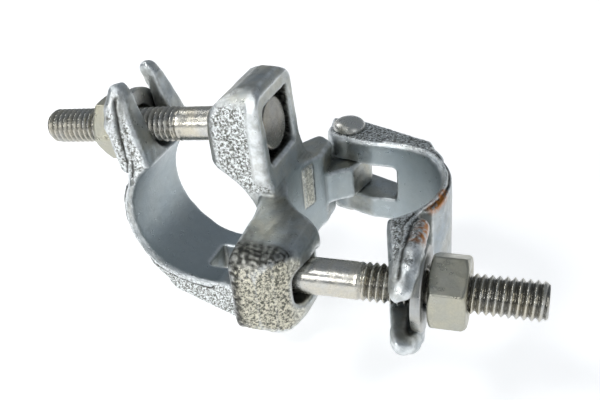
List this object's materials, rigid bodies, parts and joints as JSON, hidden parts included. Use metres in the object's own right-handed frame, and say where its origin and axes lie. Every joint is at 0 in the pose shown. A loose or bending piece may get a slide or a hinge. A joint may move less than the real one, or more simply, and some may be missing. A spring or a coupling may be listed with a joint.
{
  "type": "right-angle scaffold coupler",
  "caption": "Drop-forged right-angle scaffold coupler: a body with back-to-back tube seats and hinged flaps, each drawn shut by a T-headed bolt with washer and nut.",
  "frame": {"origin": "centre of the whole coupler's box, level with the midplane between the two tube axes", "axes": "+X from tube A's side to tube B's side, along the line that crosses both tubes; tube A runs along Y with its axis at x = -27.5 mm, z = -2.55 mm; tube B runs along Z with its axis at x = +27.5 mm, y = +2.55 mm"},
  "size_m": [0.181, 0.09, 0.09],
  "materials": {
    "forging": "zinc-plated forged skin, satin with bright rubbed edges",
    "rivet": "bright zinc",
    "bolt": "bright zinc, slightly yellowed",
    "washer": "zinc, satin",
    "nut": "zinc, olive tint"
  },
  "bodies": {
    "body": {"body": "forging", "rivet_a": "rivet", "rivet_b": "rivet"},
    "flap_a": {"flap_a": "forging"},
    "t_bolt_a": {"t_bolt_a": "bolt"},
    "washer_a": {"washer_a": "washer"},
    "nut_a": {"nut_a": "nut"},
    "flap_b": {"flap_b": "forging"},
    "t_bolt_b": {"t_bolt_b": "bolt"},
    "washer_b": {"washer_b": "washer"},
    "nut_b": {"nut_b": "nut"}
  },
  "joints": [
    {"name": "flap_a_swing", "type": "hinge", "parent": "body", "child": "flap_a", "pos_m": [-0.0115, 0.00255, -0.03705], "axis": [0, -1, 0], "range_deg": [0, 45]},
    {"name": "t_bolt_a_tip", "type": "hinge", "parent": "body", "child": "t_bolt_a", "pos_m": [-0.00794, 0.00255, 0.03047], "axis": [0, 1, 0], "range_deg": [0, 12]},
    {"name": "nut_a_travel", "type": "slide", "parent": "t_bolt_a", "child": "nut_a", "axis": [-0.9925, 0, -0.1219], "range_m": [0, 0.065]},
    {"name": "washer_a_travel", "type": "slide", "parent": "t_bolt_a", "child": "washer_a", "axis": [-0.9925, 0, -0.1219], "range_m": [0, 0.065]},
    {"name": "flap_b_swing", "type": "hinge", "parent": "body", "child": "flap_b", "pos_m": [0.0115, 0.03705, -0.00255], "axis": [0, 0, 1], "range_deg": [0, 45]},
    {"name": "t_bolt_b_tip", "type": "hinge", "parent": "body", "child": "t_bolt_b", "pos_m": [0.00797, -0.03078, -0.00255], "axis": [0, 0, -1], "range_deg": [0, 12]},
    {"name": "nut_b_travel", "type": "slide", "parent": "t_bolt_b", "child": "nut_b", "axis": [0.9965, 0.0837, 0], "range_m": [0, 0.065]},
    {"name": "washer_b_travel", "type": "slide", "parent": "t_bolt_b", "child": "washer_b", "axis": [0.9965, 0.0837, 0], "range_m": [0, 0.065]}
  ],
  "couplings": [
    {"joint": "t_bolt_a_tip", "follows": "flap_a_swing", "ratio": 0.25},
    {"joint": "nut_a_travel", "follows": "flap_a_swing", "m_per_rad": 0.081},
    {"joint": "washer_a_travel", "follows": "flap_a_swing", "m_per_rad": 0.081},
    {"joint": "t_bolt_b_tip", "follows": "flap_b_swing", "ratio": 0.25},
    {"joint": "nut_b_travel", "follows": "flap_b_swing", "m_per_rad": 0.081},
    {"joint": "washer_b_travel", "follows": "flap_b_swing", "m_per_rad": 0.081}
  ]
}
